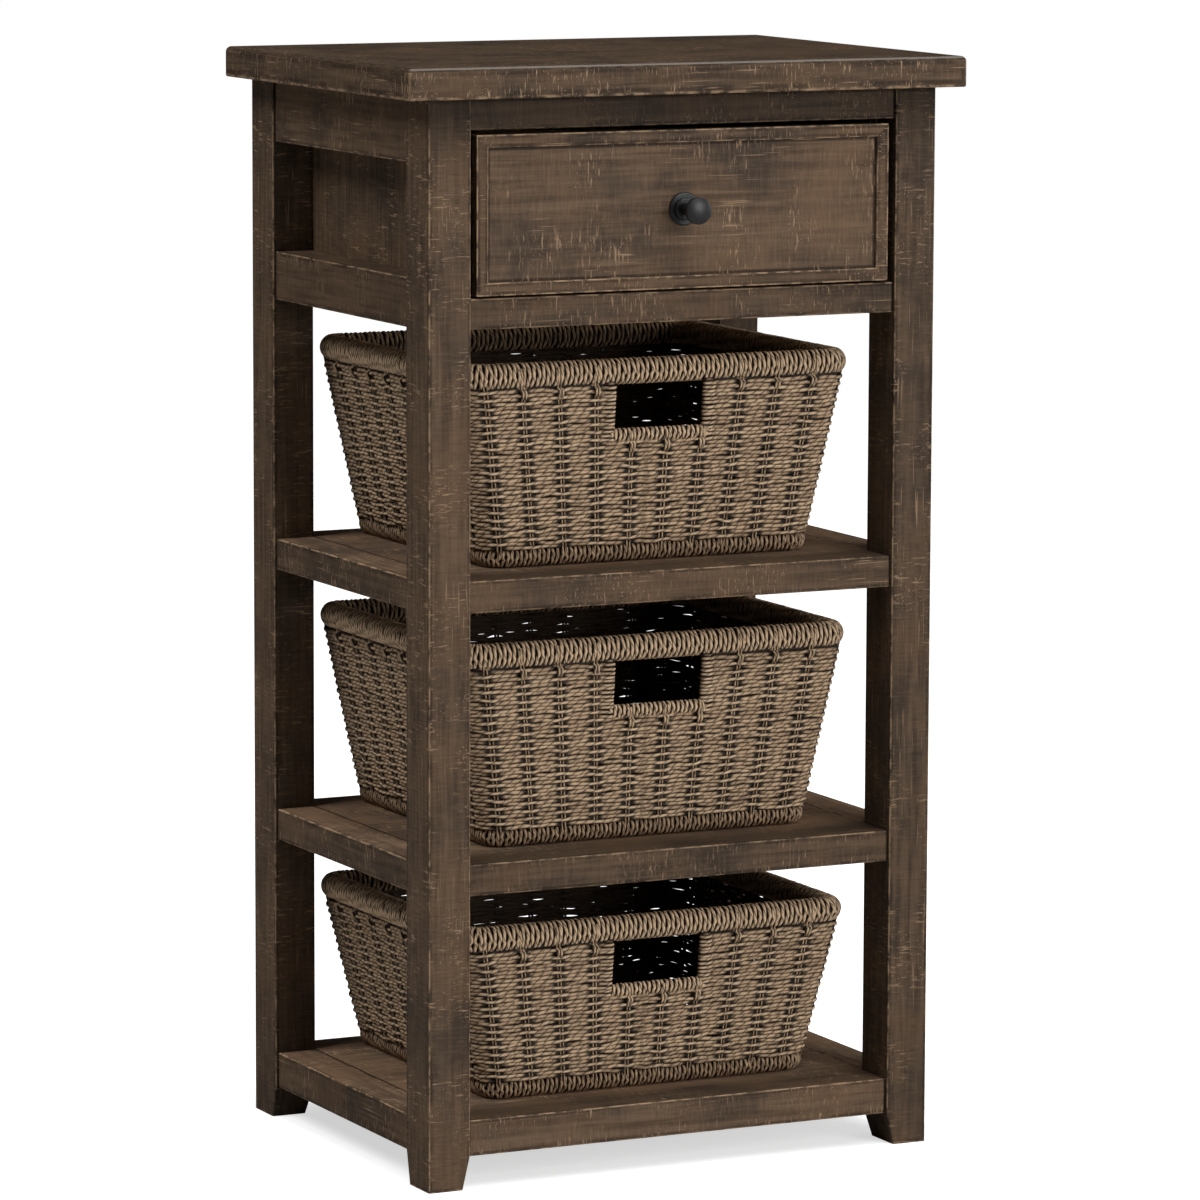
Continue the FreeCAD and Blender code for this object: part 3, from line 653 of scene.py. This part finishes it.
class Loop:
    """A level rectangle with round corners, walked from the middle of its front towards +X."""

    def __init__(self, half_x, front, back, radius):
        self.radius = radius
        x, y = half_x - radius, (back - front) / 2 - radius
        middle = (front + back) / 2
        quarter = radius * math.pi / 2
        self.lengths = [x, quarter, 2 * y, quarter, 2 * x, quarter, 2 * y, quarter, x]
        self.total = sum(self.lengths)
        self.centres = [(x, middle - y), (x, middle + y), (-x, middle + y), (-x, middle - y)]
        self.starts = np.concatenate([[0.0], np.cumsum(self.lengths)])

    def at(self, distance):
        """Points and outward directions at these distances along the loop."""
        distance = np.mod(np.asarray(distance, float), self.total)
        segment = np.clip(np.searchsorted(self.starts, distance, "right") - 1, 0, 8)
        rest = distance - self.starts[segment]
        heading = (segment + 1) // 2 % 4
        corner = segment % 2 == 1
        turn = np.where(corner, rest / self.radius, 0.0)
        angle = (heading - np.where(corner, 1, 0)) * math.pi / 2 + turn - math.pi / 2
        out = np.stack([np.cos(angle), np.sin(angle)], -1)
        ahead = np.stack([-np.sin(angle), np.cos(angle)], -1)
        centres = np.array(self.centres)
        start_of = {0: 3, 2: 0, 4: 1, 6: 2, 8: 3}
        base = np.empty_like(out)
        for k in range(9):
            chosen = segment == k
            if k % 2:
                base[chosen] = centres[k // 2]
            else:
                base[chosen] = centres[start_of[k]] + ahead[chosen] * rest[chosen][:, None]
                if k == 0:
                    base[chosen] += ahead[chosen] * self.lengths[0]
        return base + out * self.radius, out


def level(points, z):
    """Points of the plane as points of space at height z."""
    z = np.broadcast_to(np.asarray(z, float), (len(points),))
    return np.column_stack([points, z])


class Basket:
    """One basket's measures, read from its CAD nodes, and its pieces."""

    def __init__(self, name):
        self.name = name
        self.body = "basket_" + name
        self.rim_low, self.rim_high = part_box(self.node("rim"))
        self.ring_low, self.ring_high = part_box(self.node("base_ring"))
        self.rim_radius = (self.rim_high.z - self.rim_low.z) / 2
        self.ring_radius = (self.ring_high.z - self.ring_low.z) / 2
        self.rim_z = (self.rim_high.z + self.rim_low.z) / 2
        self.ring_z = (self.ring_high.z + self.ring_low.z) / 2
        self.hole_top = self.rim_low.z - handle_drop
        self.hole_low = self.hole_top - handle_height

    def node(self, piece):
        """The name of one of the basket's CAD nodes."""
        return self.name + "_basket_" + piece

    def finish(self, mesh, piece, material, *nodes):
        """Makes a piece that rides on the basket, in place of these CAD nodes."""
        made = mesh.make(self.name + "_basket_" + piece, material)
        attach(made, self.body)
        if nodes:
            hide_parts(*[self.node(node) for node in nodes])
        return made

    def wall_loop(self, z):
        """The middle line of the weave at height z, a little inside the wall's face."""
        share = (z - self.ring_z) / (self.rim_z - self.ring_z)
        inset = weave_inset + share * rim_stand
        half_x = self.ring_high.x + share * (self.rim_high.x - self.ring_high.x) - inset
        front = self.ring_low.y + share * (self.rim_low.y - self.ring_low.y) + inset
        back = self.ring_high.y + share * (self.rim_high.y - self.ring_high.y) - inset
        corner = ring_corner + self.ring_radius
        corner += share * (rim_corner + self.rim_radius - wall_corner_tuck - corner)
        return Loop(half_x, front, back, corner - weave_inset)

    def roll_loop(self, low, high, radius, corner):
        """The middle line of the rim or the base ring."""
        return Loop(high.x - radius, low.y + radius, high.y - radius, corner)

    def weft_lift(self, place, row, gap):
        """1 where a row's strand lies over a stake, -1 where it is behind one, 0 half-way between."""
        nearest = np.round(place - stake_phase)
        apart = np.abs(place - stake_phase - nearest) * gap
        near = 0.5 + 0.5 * np.cos(math.pi * np.minimum(apart / weft_dip_reach, 1))
        return near * np.where((nearest + row) % 2 == 0, 1, -1)

    def weft_depth(self, lift):
        """How far a strand stands out of the wall's middle."""
        return np.where(lift > 0, lift * weft_over, lift * weft_under)

    def places(self):
        """Where a row's points lie, counted in stakes from the middle of the front."""
        stakes = np.arange(stakes_round)[:, None] + stake_phase
        return np.mod((stakes + np.array(stake_steps)).ravel(), stakes_round)

    def wobble(self, place, size):
        """A slow random wave along a row, which closes on itself."""
        total = np.zeros_like(place)
        for harmonic in wobble_harmonics:
            start = random.uniform(0, 2 * math.pi)
            total += random.normal() * np.cos(2 * math.pi * harmonic * place / stakes_round + start)
        return size * total / wobble_divisor

    def thickness(self, place, lift):
        """A row's strand is uneven, drawn thinner where it lies over a stake and thicker behind one."""
        uneven = np.clip(self.wobble(place, weft_unevenness), *weft_uneven_limits)
        drawn = 1 - weft_thinning * np.clip(lift, 0, 1) + weft_swelling * np.clip(-lift, 0, 1)
        return weft_radius * (1 + uneven) * drawn

    def weave(self, material):
        """Rows of weft round the wall, with a last one behind the rim. Rows beside the hand hole
        turn back at its edges."""
        low = self.ring_high.z - lowest_row_tuck
        high = self.rim_low.z - highest_row_gap
        broken_low = self.hole_low - handle_border * broken_rows_share
        broken_high = self.hole_top + broken_rows_above
        count = int(round((high - low) / row_pitch)) + 1
        heights = np.linspace(low, high, count)
        halves = (StrandMesh(), StrandMesh())
        for row, z in enumerate(heights):
            half = halves[0] if row < count // 2 else halves[1]
            if broken_low < z < broken_high:
                self.broken_row(half, row, z)
            else:
                self.whole_row(half, row, z)
        self.broken_row(halves[1], count, self.rim_low.z + hidden_row_rise, hidden_row_setback)
        self.finish(halves[0], "weave_low", material, "wall")
        self.finish(halves[1], "weave_high", material, "wall")

    def whole_row(self, mesh, row, z):
        """A row that runs right round the wall."""
        place = self.places()
        loop = self.wall_loop(z)
        flat, out = loop.at(place / stakes_round * loop.total)
        lift = self.weft_lift(place, row, loop.total / stakes_round)
        swing = self.weft_depth(lift) + self.wobble(place, row_swing_wobble)
        path = level(flat + out * swing[:, None], z + self.wobble(place, row_rise_wobble))
        normal = level(out, 0.0)
        radius = self.thickness(place, lift)
        # The lift also drives painted highlight on strands over stakes and painted shade on strands behind
        # them
        mesh.add(path, normal, normal, radius, closed=True, flat=weft_flatness, depth=lift)

    def broken_row(self, mesh, row, z, setback=0.0):
        """A row from one side of the hand hole round to the other, looped round a post at each side."""
        loop = self.wall_loop(z)
        post = handle_half_width + weft_radius * weft_flatness + post_reach
        last = loop.total - post
        place = np.sort(self.places())
        distance = place / stakes_round * loop.total
        clear = post_reach + post_clearance
        kept = (distance > post + clear) & (distance < last - clear)
        place, distance = place[kept], distance[kept]
        from_post = np.minimum(distance - post, last - distance) - clear
        calm = np.clip(from_post / calm_length, 0, 1)
        lift = self.weft_lift(place, row, loop.total / stakes_round) * calm - calm_sink * (1 - calm)
        depth = self.weft_depth(lift)
        rise = self.wobble(place, row_rise_wobble)
        radius = self.thickness(place, lift)
        turn = np.radians(np.linspace(-turn_half_angle, turn_half_angle, turn_points))
        turn_lift = np.where(turn > 0, turn_front_lift * np.sin(turn), turn_back_lift * np.sin(turn))
        turn_depth = post_depth * np.sin(turn)
        turn_radius = np.full(turn_points, weft_radius * turn_thickness)
        start = post - post_reach * np.cos(turn)
        end = last + post_reach * np.cos(turn)
        distance = np.concatenate([start, distance, end])
        depth = np.concatenate([turn_depth, depth, turn_depth[::-1]])
        lift = np.concatenate([turn_lift, lift, turn_lift[::-1]])
        radius = np.concatenate([turn_radius, radius, turn_radius])
        rise = np.concatenate([np.full(turn_points, rise[0]), rise, np.full(turn_points, rise[-1])])
        flat, out = loop.at(distance)
        path = level(flat + out * (depth + setback)[:, None], z + rise)
        up = np.broadcast_to([0.0, 0.0, 1.0], path.shape)
        normal = np.cross(np.gradient(path, axis=0), up)
        normal /= np.linalg.norm(normal, axis=1, keepdims=True)
        # Painted shade on strands behind stakes, near the posts and on the row set back behind the rim
        dark = lift + setback / weft_under
        mesh.add(path, normal, normal, radius, flat=weft_flatness, depth=dark)

    def stakes(self, material):
        """Paired upright cords, and the hooks that tie them over the rim's lower edge."""
        mesh = StrandMesh()
        for stake in range(stakes_round):
            place = stake + stake_phase
            loop = self.wall_loop((self.rim_z + self.ring_z) / 2)
            middle, middle_out = loop.at([place / stakes_round * loop.total])
            in_hole = abs(middle[0, 0]) < handle_half_width and middle_out[0, 1] < front_wall_limit
            top = self.hole_low - handle_border / 2 if in_hole else self.rim_z
            for side in pair_sides:
                heights = np.linspace(self.ring_z, top, stake_points)
                path = []
                outs = []
                for z in heights:
                    loop = self.wall_loop(z)
                    distance = place / stakes_round * loop.total + side * stake_pair_gap
                    flat, out = loop.at([distance])
                    path.append([*flat[0], z])
                    outs.append([*out[0], 0.0])
                path = np.array(path)
                path[:, :2] += random.normal(0, stake_jitter, 2)
                mesh.add(path, outs, outs, stake_radius, sides=thin_sides)
            for side in pair_sides:
                if in_hole:
                    self.hook(mesh, place, side, self.hole_low - handle_border / 2, bar_radius, bar_setback)
                elif abs(middle_out[0]).max() > flat_wall_limit:
                    rim_setback = self.rim_radius - weave_inset - rim_stand
                    self.hook(mesh, place, side, self.rim_z, self.rim_radius, rim_setback)
        self.finish(mesh, "stakes", material)

    def hook(self, mesh, place, side, z, radius, setback):
        """A strand that comes up out of the wall and laps over a roll. The roll's middle lies setback
        behind the wall's."""
        angles = np.radians(np.array(hook_angles))
        rise = np.concatenate([z + radius * np.sin(angles), z - radius - np.array(hook_tail_drops)])
        reach = np.concatenate([radius * np.cos(angles), np.array(hook_tail_stands)])
        reach[:len(angles)] -= hook_press
        path = []
        outs = []
        for height, stand in zip(rise, reach):
            loop = self.wall_loop(min(height, self.rim_z))
            flat, out = loop.at([place / stakes_round * loop.total + side * stake_pair_gap])
            behind = setback if height > z - radius else 0.0
            flat = flat + out * (stand - behind)
            path.append([*flat[0], height])
            outs.append([*out[0], 0.0])
        mesh.add(np.array(path), outs, outs, hook_radius, sides=thin_sides, **hook_look)

    def wrapped_roll(self, piece, loop, z, radius, pitch, strand, tone, material, core, node):
        """A thick core wrapped closely with cord, as on the rim and the base ring."""
        steps = wrap_steps
        outside = radius * wrap_even_share
        turns = 2 * int(round((loop.total + 2 * math.pi * outside) / pitch / 2))
        mesh = StrandMesh()
        angle = np.arange(turns * steps) * 2 * math.pi / steps
        share = np.arange(turns * steps) / (turns * steps)
        turn = np.floor(share * turns + 1e-9).astype(int)
        kink = wrap_kink * np.cos(wrap_kinks_round * angle) * np.where(turn % 2 == 0, 1, -1)
        kink = kink * random.uniform(*wrap_kink_range, turns)[turn]
        jitter = random.normal(0, wrap_jitter, turns)[turn]
        distance = self.even_walk(loop, share, outside) + kink + jitter
        flat, out = loop.at(distance)
        squeeze = 1.0 + random.normal(0, wrap_squeeze, turns)[turn]
        reach = (radius - strand) * squeeze
        path = level(flat + out * (np.cos(angle) * reach)[:, None], z + np.sin(angle) * reach)
        normal = level(out * np.cos(angle)[:, None], np.sin(angle))
        # Painted light and shade: from the roll's tone, and darker on its side towards the basket's inside
        depth = tone - roll_depth_offset - roll_inside_shade * np.clip(-np.cos(angle), 0, 1)
        mesh.add(path, normal, normal, strand, closed=True, tone=tone, depth=depth, shade=roll_edge_shade)
        self.finish(mesh, piece, material, node)
        inner = StrandMesh()
        walk = np.linspace(0, loop.total, roll_core_points, endpoint=False)
        flat, out = loop.at(walk)
        outs = level(out, 0.0)
        core_radius = radius - strand * roll_core_sink
        inner.add(level(flat, z), outs, outs, core_radius, sides=roll_core_sides, closed=True)
        self.finish(inner, piece + "_core", core)

    def even_walk(self, loop, share, outset):
        """Distances along a loop whose steps are even on a line outset from it."""
        wide = np.array(loop.lengths)
        wide[1::2] *= 1 + outset / loop.radius
        marks = np.concatenate([[0.0], np.cumsum(wide)])
        return np.interp(share * marks[-1], marks, loop.starts)

    def handle(self, material, core):
        """The wrapped bar along the bottom of the hand hole."""
        z = self.hole_low - handle_border / 2
        loop = self.wall_loop(z)
        half = handle_half_width + bar_overrun
        steps = bar_steps
        turns = int(round(2 * half / bar_wrap_pitch))
        share = np.linspace(0, 1, turns * steps + 1)
        angle = share * turns * 2 * math.pi
        turn = np.minimum(np.floor(share * turns), turns - 1).astype(int)
        kink = bar_kink_share * wrap_kink * np.cos(wrap_kinks_round * angle)
        kink = kink * np.where(turn % 2 == 0, 1, -1)
        distance = half * (2 * share - 1) + kink + random.normal(0, wrap_jitter, turns)[turn]
        flat, out = loop.at(distance)
        reach = bar_radius - bar_wrap_radius
        stand = np.cos(angle) * reach - bar_setback
        path = level(flat + out * stand[:, None], z + np.sin(angle) * reach)
        normal = level(out * np.cos(angle)[:, None], np.sin(angle))
        mesh = StrandMesh()
        mesh.add(path, normal, normal, bar_wrap_radius, **bar_look)
        self.finish(mesh, "handle_border", material, "handle_border")
        inner = StrandMesh()
        flat, out = loop.at(np.linspace(-half, half, bar_core_points))
        outs = level(out, 0.0)
        core_radius = reach - bar_wrap_radius * bar_core_sink
        inner.add(level(flat - out * bar_setback, z), outs, outs, core_radius, sides=bar_core_sides)
        self.finish(inner, "handle_border_core", core)

    def floor(self, material):
        """The woven floor inside the base ring."""
        low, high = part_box(self.node("floor"))
        z = self.ring_low.z + floor_lift
        mesh = StrandMesh()
        count = int((high.y - low.y) / floor_pitch)
        for row, y in enumerate(np.linspace(low.y, high.y, count)):
            x = np.linspace(low.x, high.x, floor_row_points)
            wave = np.cos(math.pi * ((x - low.x) / (high.x - low.x) * floor_columns + row))
            across = np.full(floor_row_points, y) + random.normal(0, floor_jitter)
            path = np.column_stack([x, across, z + floor_wave * wave])
            up = np.broadcast_to([0.0, 0.0, 1.0], path.shape)
            mesh.add(path, up, -up, floor_cord_radius, sides=thin_sides)
        for column in range(floor_columns):
            x = low.x + (high.x - low.x) * column / floor_columns
            for side in pair_sides:
                y = np.linspace(low.y, high.y, floor_stake_points)
                beside = np.full(floor_stake_points, x + side * stake_pair_gap)
                path = np.column_stack([beside, y, np.full(floor_stake_points, z)])
                up = np.broadcast_to([0.0, 0.0, 1.0], path.shape)
                mesh.add(path, up, -up, stake_radius, sides=thin_sides)
        self.finish(mesh, "floor_weave", material, "floor")

    def build(self, cord, core):
        """Makes all of the basket's pieces."""
        self.weave(cord)
        self.stakes(cord)
        rim = self.roll_loop(self.rim_low, self.rim_high, self.rim_radius, rim_corner)
        ring = self.roll_loop(self.ring_low, self.ring_high, self.ring_radius, ring_corner)
        self.wrapped_roll("rim_wrap", rim, self.rim_z, self.rim_radius, rim_wrap_pitch, rim_wrap_radius,
                          rim_tone_and_highlight, cord, core, "rim")
        self.wrapped_roll("ring_wrap", ring, self.ring_z, self.ring_radius, ring_wrap_pitch,
                          ring_wrap_radius, ring_tone_and_shade, cord, core, "base_ring")
        self.handle(cord, core)
        self.floor(cord)


# Dressing the CAD pieces


def dress(node, material):
    """Gives a CAD piece its material in place of the plain one."""
    piece = frame["nodes"][node]
    piece.data.materials.clear()
    piece.data.materials.append(material)


def joint_reach(node, axis, centre):
    """How far from its middle a board shows before it goes into the next one."""
    inner_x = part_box("leg_front_right")[0].x
    inner_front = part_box("leg_front_left")[1].y
    rail_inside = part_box("upper_shelf_rail_right")[0].x
    if node.endswith("shelf_board"):
        return rail_inside
    if "rail" in node and axis == 0:
        return inner_x
    if "rail" in node and axis == 1:
        return centre.y - inner_front
    return no_joint


def mark_board(node, axis):
    """Gives a board's piece what its material reads: its box, a seed, its visible length, tone and wear."""
    low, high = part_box(node)
    bead_low, bead_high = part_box("drawer_bead_left")
    bead_width = bead_high.x - bead_low.x
    piece = frame["nodes"][node]
    centre = (low + high) / 2
    piece["board_centre"] = list(centre)
    piece["board_half"] = list((high - low) / 2)
    piece["board_seed"] = [float(value) for value in random.uniform(-seed_reach, seed_reach, 3)]
    piece["joint_reach"] = float(joint_reach(node, axis, centre))
    piece["board_tone"] = painted_shade_and_board_tones.get(node, usual_tone)
    # The top's painted light and shade, at its front and further back
    piece["front_lift"], piece["top_lift"] = painted_top_lights.get(node.split("_")[1], (0.0, 0.0))
    piece["cover_width"] = bead_width if node == "drawer_front" else no_cover
    is_top = node == "top_panel"
    piece["rub_width"] = top_rub_width if is_top else rub_width
    piece["mark_strength"] = top_mark_strength if is_top else mark_strength
    piece["front_arris"] = 1.0 if is_top else 0.0
    piece["is_leg"] = 1.0 if node.startswith("leg_") else 0.0


def grain_axis(node):
    """The axis of a board's longest side. The side panels' grain is upright."""
    if node.startswith("side_panel"):
        return 2
    low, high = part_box(node)
    size = high - low
    return max(range(3), key=lambda k: size[k])


def dress_frame():
    """Gives each CAD piece the material of its slot. The baskets get theirs with their own pieces."""
    woods = [wood_material("distressed_wood_" + letter, axis) for axis, letter in enumerate("xyz")]
    others = {"drawer_box_wood": plain_wood_material(), "black_metal": black_metal_material(),
              "screw_steel": steel_material()}
    slots = {part["node"]: part["material_slot"] for part in frame["record"]["subparts"]}
    for node, slot in slots.items():
        if slot == "distressed_wood":
            axis = grain_axis(node)
            mark_board(node, axis)
            dress(node, woods[axis])
        elif slot in others:
            dress(node, others[slot])


# Stage


def paper_material():
    """White paper that keeps the stand's shadow, dimmer about its feet, and throws little light back."""
    n = Nodes("floor_paper")
    n.tree.nodes.remove(n.shader)
    output = n.tree.nodes["Material Output"]
    paper = n.add("ShaderNodeBsdfDiffuse")
    paper.inputs[0].default_value = paper_seen
    bounce = n.add("ShaderNodeBsdfDiffuse")
    bounce.inputs[0].default_value = paper_bounce
    glow = n.add("ShaderNodeEmission")
    x, y = n.split(n.where())[:2]
    beside = n.math("MULTIPLY", n.math("SUBTRACT", n.math("ABSOLUTE", x), dim_half_width), dim_side_share)
    before = n.math("SUBTRACT", n.math("ABSOLUTE", n.math("SUBTRACT", y, dim_middle)), dim_half_depth)
    away = n.ramp(n.math("MAXIMUM", beside, before), 0.0, dim_fade)
    n.link(n.math("MULTIPLY_ADD", away, glow_rise, glow_least), glow.inputs["Strength"])
    seen = n.add("ShaderNodeAddShader")
    n.link(paper.outputs[0], seen.inputs[0])
    n.link(glow.outputs[0], seen.inputs[1])
    path = n.add("ShaderNodeLightPath")
    chosen = n.add("ShaderNodeMixShader")
    n.link(path.outputs["Is Camera Ray"], chosen.inputs[0])
    n.link(bounce.outputs[0], chosen.inputs[1])
    n.link(seen.outputs[0], chosen.inputs[2])
    n.link(chosen.outputs[0], output.inputs[0])
    return n.material


def paper_floor():
    """A wide level floor under the stand's feet."""
    size = stage_reach
    mesh = bpy.data.meshes.new("floor")
    corners = [(-size, -size, 0), (size, -size, 0), (size, size, 0), (-size, size, 0)]
    mesh.from_pydata(corners, [], [(0, 1, 2, 3)])
    floor = bpy.data.objects.new("floor", mesh)
    bpy.context.scene.collection.objects.link(floor)
    mesh.materials.append(paper_material())


def studio():
    """A world that looks white and lights the stand only faintly."""
    world = bpy.data.worlds.new("studio")
    bpy.context.scene.world = world
    world.use_nodes = True
    tree = world.node_tree
    light_path = tree.nodes.new("ShaderNodeLightPath")
    lit = tree.nodes["Background"]
    lit.inputs[0].default_value = white
    lit.inputs[1].default_value = world_light
    seen = tree.nodes.new("ShaderNodeBackground")
    seen.inputs[0].default_value = white
    seen.inputs[1].default_value = 1.0
    mixed = tree.nodes.new("ShaderNodeMixShader")
    tree.links.new(light_path.outputs["Is Camera Ray"], mixed.inputs[0])
    tree.links.new(lit.outputs[0], mixed.inputs[1])
    tree.links.new(seen.outputs[0], mixed.inputs[2])
    tree.links.new(mixed.outputs[0], tree.nodes["World Output"].inputs[0])


def lamp(name, place, target, power):
    """A square soft lamp that looks at the target."""
    data = bpy.data.lights.new(name, "AREA")
    data.shape = "RECTANGLE"
    data.size, data.size_y = lamp_side, lamp_side
    data.energy = power
    light = bpy.data.objects.new(name, data)
    light.location = place
    light.rotation_euler = (Vector(target) - Vector(place)).to_track_quat("-Z", "Y").to_euler()
    bpy.context.scene.collection.objects.link(light)


def lights():
    """Four soft lamps: in front on the right, above the front, and at each side."""
    lamp("key", (2.0, -5.0, 1.9), (0, 0, 0.40), 153)
    lamp("top_front", (0.3, -1.6, 4.2), (0, 0, 0.45), 72)
    lamp("left_fill", (-2.95, 0.0, 4.18), (0, 0, 0.40), 109)
    lamp("right_fill", (4.3, -0.5, 1.5), (0, 0, 0.45), 52)


def camera():
    """A long lens that looks at the target from the front left, a little above."""
    forward = Vector((math.sin(camera_turn) * math.cos(camera_tilt),
                      math.cos(camera_turn) * math.cos(camera_tilt), -math.sin(camera_tilt)))
    level_right = Vector((math.cos(camera_turn), -math.sin(camera_turn), 0))
    level_up = level_right.cross(forward)
    right = level_right * math.cos(camera_roll) + level_up * math.sin(camera_roll)
    up = level_up * math.cos(camera_roll) - level_right * math.sin(camera_roll)
    turn = Matrix((right, up, -forward)).transposed().to_4x4()
    data = bpy.data.cameras.new("camera")
    data.lens = camera_lens
    data.sensor_width = camera_sensor
    data.clip_end = camera_clip
    eye = bpy.data.objects.new("camera", data)
    eye.matrix_world = Matrix.Translation(camera_target - forward * camera_distance) @ turn
    bpy.context.scene.collection.objects.link(eye)
    bpy.context.scene.camera = eye


# The whole scene

dress_frame()
cord = cord_material()
core = core_material()
for basket_name in basket_names:
    Basket(basket_name).build(cord, core)
paper_floor()
studio()
lights()
camera()
bpy.context.scene.view_settings.view_transform = "Standard"
